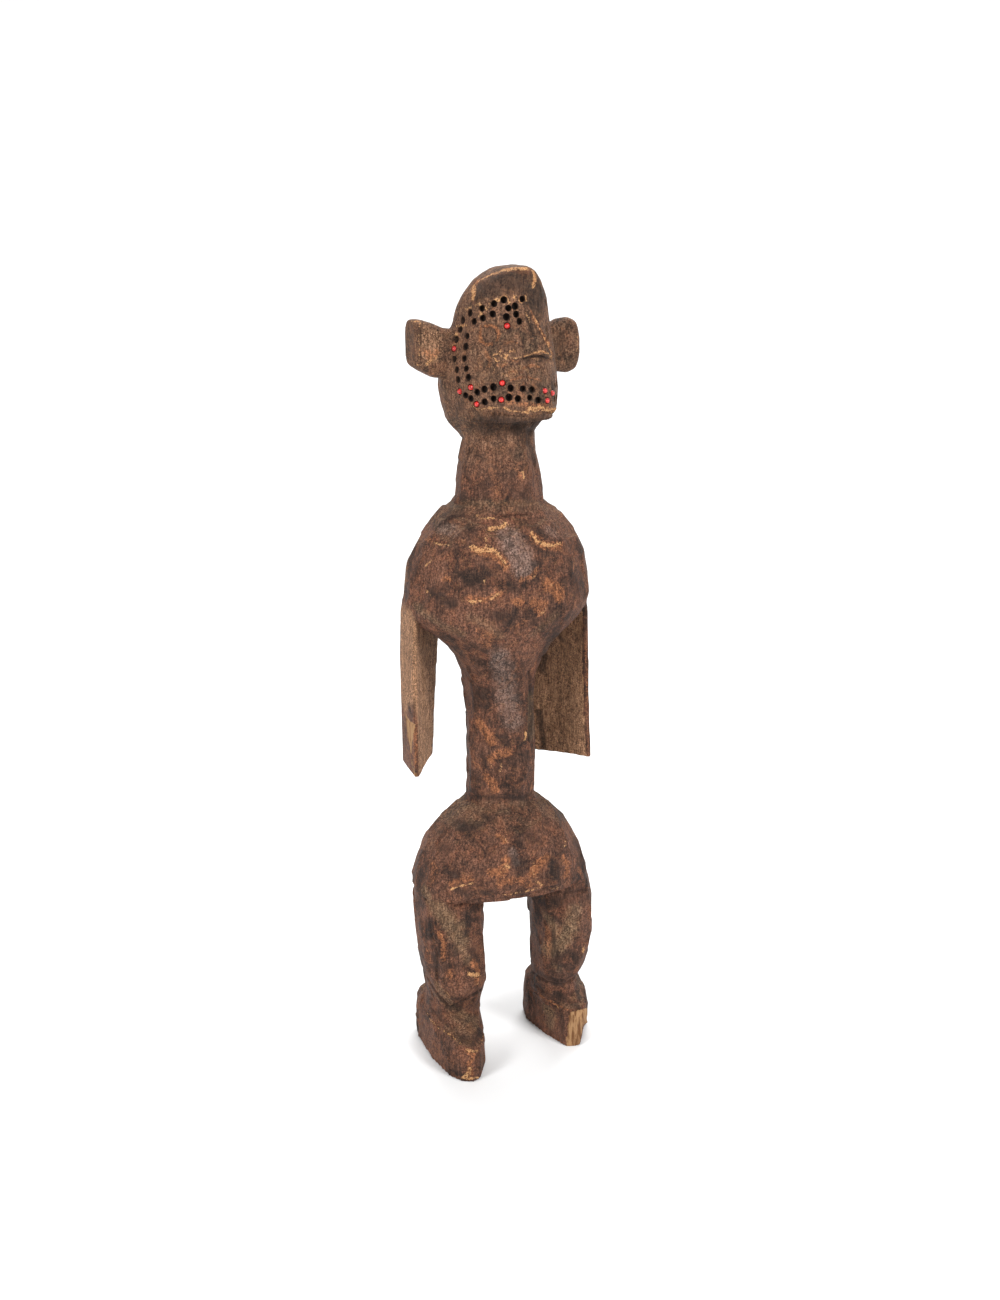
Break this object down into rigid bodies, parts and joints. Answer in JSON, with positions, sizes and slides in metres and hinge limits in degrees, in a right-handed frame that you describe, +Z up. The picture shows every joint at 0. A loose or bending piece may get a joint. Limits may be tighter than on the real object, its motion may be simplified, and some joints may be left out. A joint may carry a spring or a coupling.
{
  "type": "mumuye figure",
  "caption": "Standing carved wooden figure with slab arms hanging clear of a slim trunk, a domed hip, block feet and red seeds pressed into rows of holes round the face.",
  "frame": {"origin": "middle of the figure's box, at the level of the soles", "axes": "+Z up along the figure, -Y the way the body faces, +X towards the figure's own left"},
  "size_m": [0.1858, 0.1266, 0.76],
  "materials": {
    "carved_wood": "dark handled patina, worn to pale wood on edges",
    "seed_red": "glossy red seed coat"
  },
  "bodies": {
    "root": {"carved_figure": "carved_wood", "seed_1": "seed_red", "seed_2": "seed_red", "seed_3": "seed_red", "seed_4": "seed_red", "seed_5": "seed_red", "seed_6": "seed_red", "seed_7": "seed_red", "seed_8": "seed_red", "seed_9": "seed_red", "seed_10": "seed_red"}
  },
  "joints": []
}
